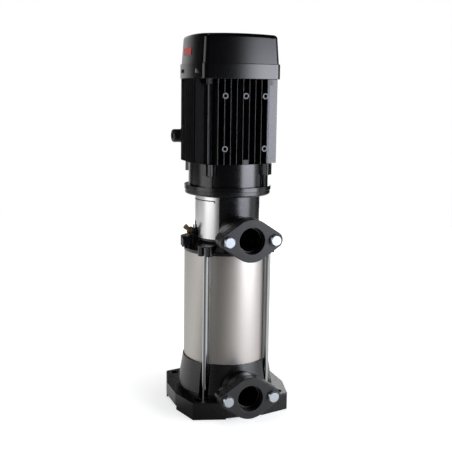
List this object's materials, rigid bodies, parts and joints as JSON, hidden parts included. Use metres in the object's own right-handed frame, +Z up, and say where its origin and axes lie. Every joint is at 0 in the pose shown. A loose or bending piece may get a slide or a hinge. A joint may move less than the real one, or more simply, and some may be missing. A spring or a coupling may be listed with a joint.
{
  "type": "vertical multistage pump",
  "caption": "Vertical multistage pump: cast foot and head with side ports, a stainless sleeve held by tie rods, a guarded coupling, and a square finned motor with a fan cover on top.",
  "frame": {"origin": "centre of the four foot bolt holes, on the plane the foot stands on", "axes": "+Z up along the pump and motor shaft, -Y the way both ports face, +X to the right seen from the ports"},
  "size_m": [0.19, 0.2406, 0.6064],
  "materials": {
    "casting_black": "satin",
    "motor_black": "satin",
    "cover_black": "satin",
    "flange_charcoal": "matte",
    "sleeve_stainless": "satin",
    "guard_stainless": "satin",
    "rod_bright": "polished",
    "zinc_bolt": "satin",
    "plug_black": "satin",
    "vent_bronze": "satin",
    "plate_red": "satin",
    "gasket_fibre": "matte",
    "seal_rubber": "matte",
    "stage_steel": "satin",
    "shaft_steel": "polished",
    "seal_carbon": "matte",
    "coupling_iron": "matte",
    "lamination_steel": "matte",
    "winding_copper": "satin",
    "bearing_steel": "polished",
    "fan_plastic": "matte",
    "gland_plastic": "matte",
    "box_black": "satin"
  },
  "bodies": {
    "pump": {"base_casting": "casting_black", "drain_plug": "plug_black", "suction_counter_flange": "flange_charcoal", "discharge_counter_flange": "flange_charcoal", "port_gaskets": "gasket_fibre", "port_flange_bolts": "zinc_bolt", "outer_sleeve": "sleeve_stainless", "sleeve_seals": "seal_rubber", "tie_rods": "rod_bright", "tie_rod_nuts": "zinc_bolt", "tie_rod_washers": "zinc_bolt", "inlet_spider": "stage_steel", "lower_bush": "seal_carbon", "stage_chamber_1": "stage_steel", "stage_chamber_2": "stage_steel", "stage_chamber_3": "stage_steel", "stage_chamber_4": "stage_steel", "stack_spring": "stage_steel", "pump_head": "casting_black", "coupling_guard_left": "guard_stainless", "coupling_guard_right": "guard_stainless", "seal_seat": "seal_carbon", "priming_plug": "plug_black", "vent_body": "vent_bronze", "drive_end_shield": "motor_black", "motor_flange_screws": "zinc_bolt", "motor_frame": "motor_black", "stator_core": "lamination_steel", "stator_windings": "winding_copper", "bearing_outer_rings": "bearing_steel", "rear_shield": "motor_black", "motor_long_bolts": "zinc_bolt", "fan_cover_band": "cover_black", "fan_cover_hood": "cover_black", "fan_cover_screws": "plug_black", "blank_plate": "plate_red", "terminal_box": "box_black", "terminal_box_lid": "box_black", "terminal_box_screws": "zinc_bolt", "terminal_block": "gland_plastic", "cable_gland_body": "gland_plastic", "cable_gland_nut": "gland_plastic"},
    "rotor": {"pump_shaft": "shaft_steel", "impeller_1": "stage_steel", "impeller_2": "stage_steel", "impeller_3": "stage_steel", "impeller_4": "stage_steel", "shaft_spacers": "shaft_steel", "shaft_nut": "shaft_steel", "seal_rotor": "seal_carbon", "coupling_half_left": "coupling_iron", "coupling_half_right": "coupling_iron", "coupling_screws": "zinc_bolt", "motor_shaft": "shaft_steel", "rotor_core": "lamination_steel", "bearing_inner_rings": "bearing_steel", "bearing_balls": "bearing_steel", "cooling_fan": "fan_plastic"},
    "vent_stem": {"vent_needle": "vent_bronze"},
    "vent_handle": {"vent_knob": "vent_bronze"}
  },
  "joints": [
    {"name": "rotor_spin", "type": "hinge", "parent": "pump", "child": "rotor", "pos_m": [0, 0, 0], "axis": [0, 0, 1], "continuous": true},
    {"name": "vent_slide", "type": "slide", "parent": "pump", "child": "vent_stem", "axis": [-0.7771, 0, 0.6293], "range_m": [0, 0.003]},
    {"name": "vent_turn", "type": "hinge", "parent": "vent_stem", "child": "vent_handle", "pos_m": [-0.0608, 0, 0.2905], "axis": [-0.7771, 0, 0.6293], "range_deg": [0, 1080]}
  ],
  "couplings": [
    {"joint": "vent_turn", "follows": "vent_slide", "rad_per_m": 6283}
  ]
}
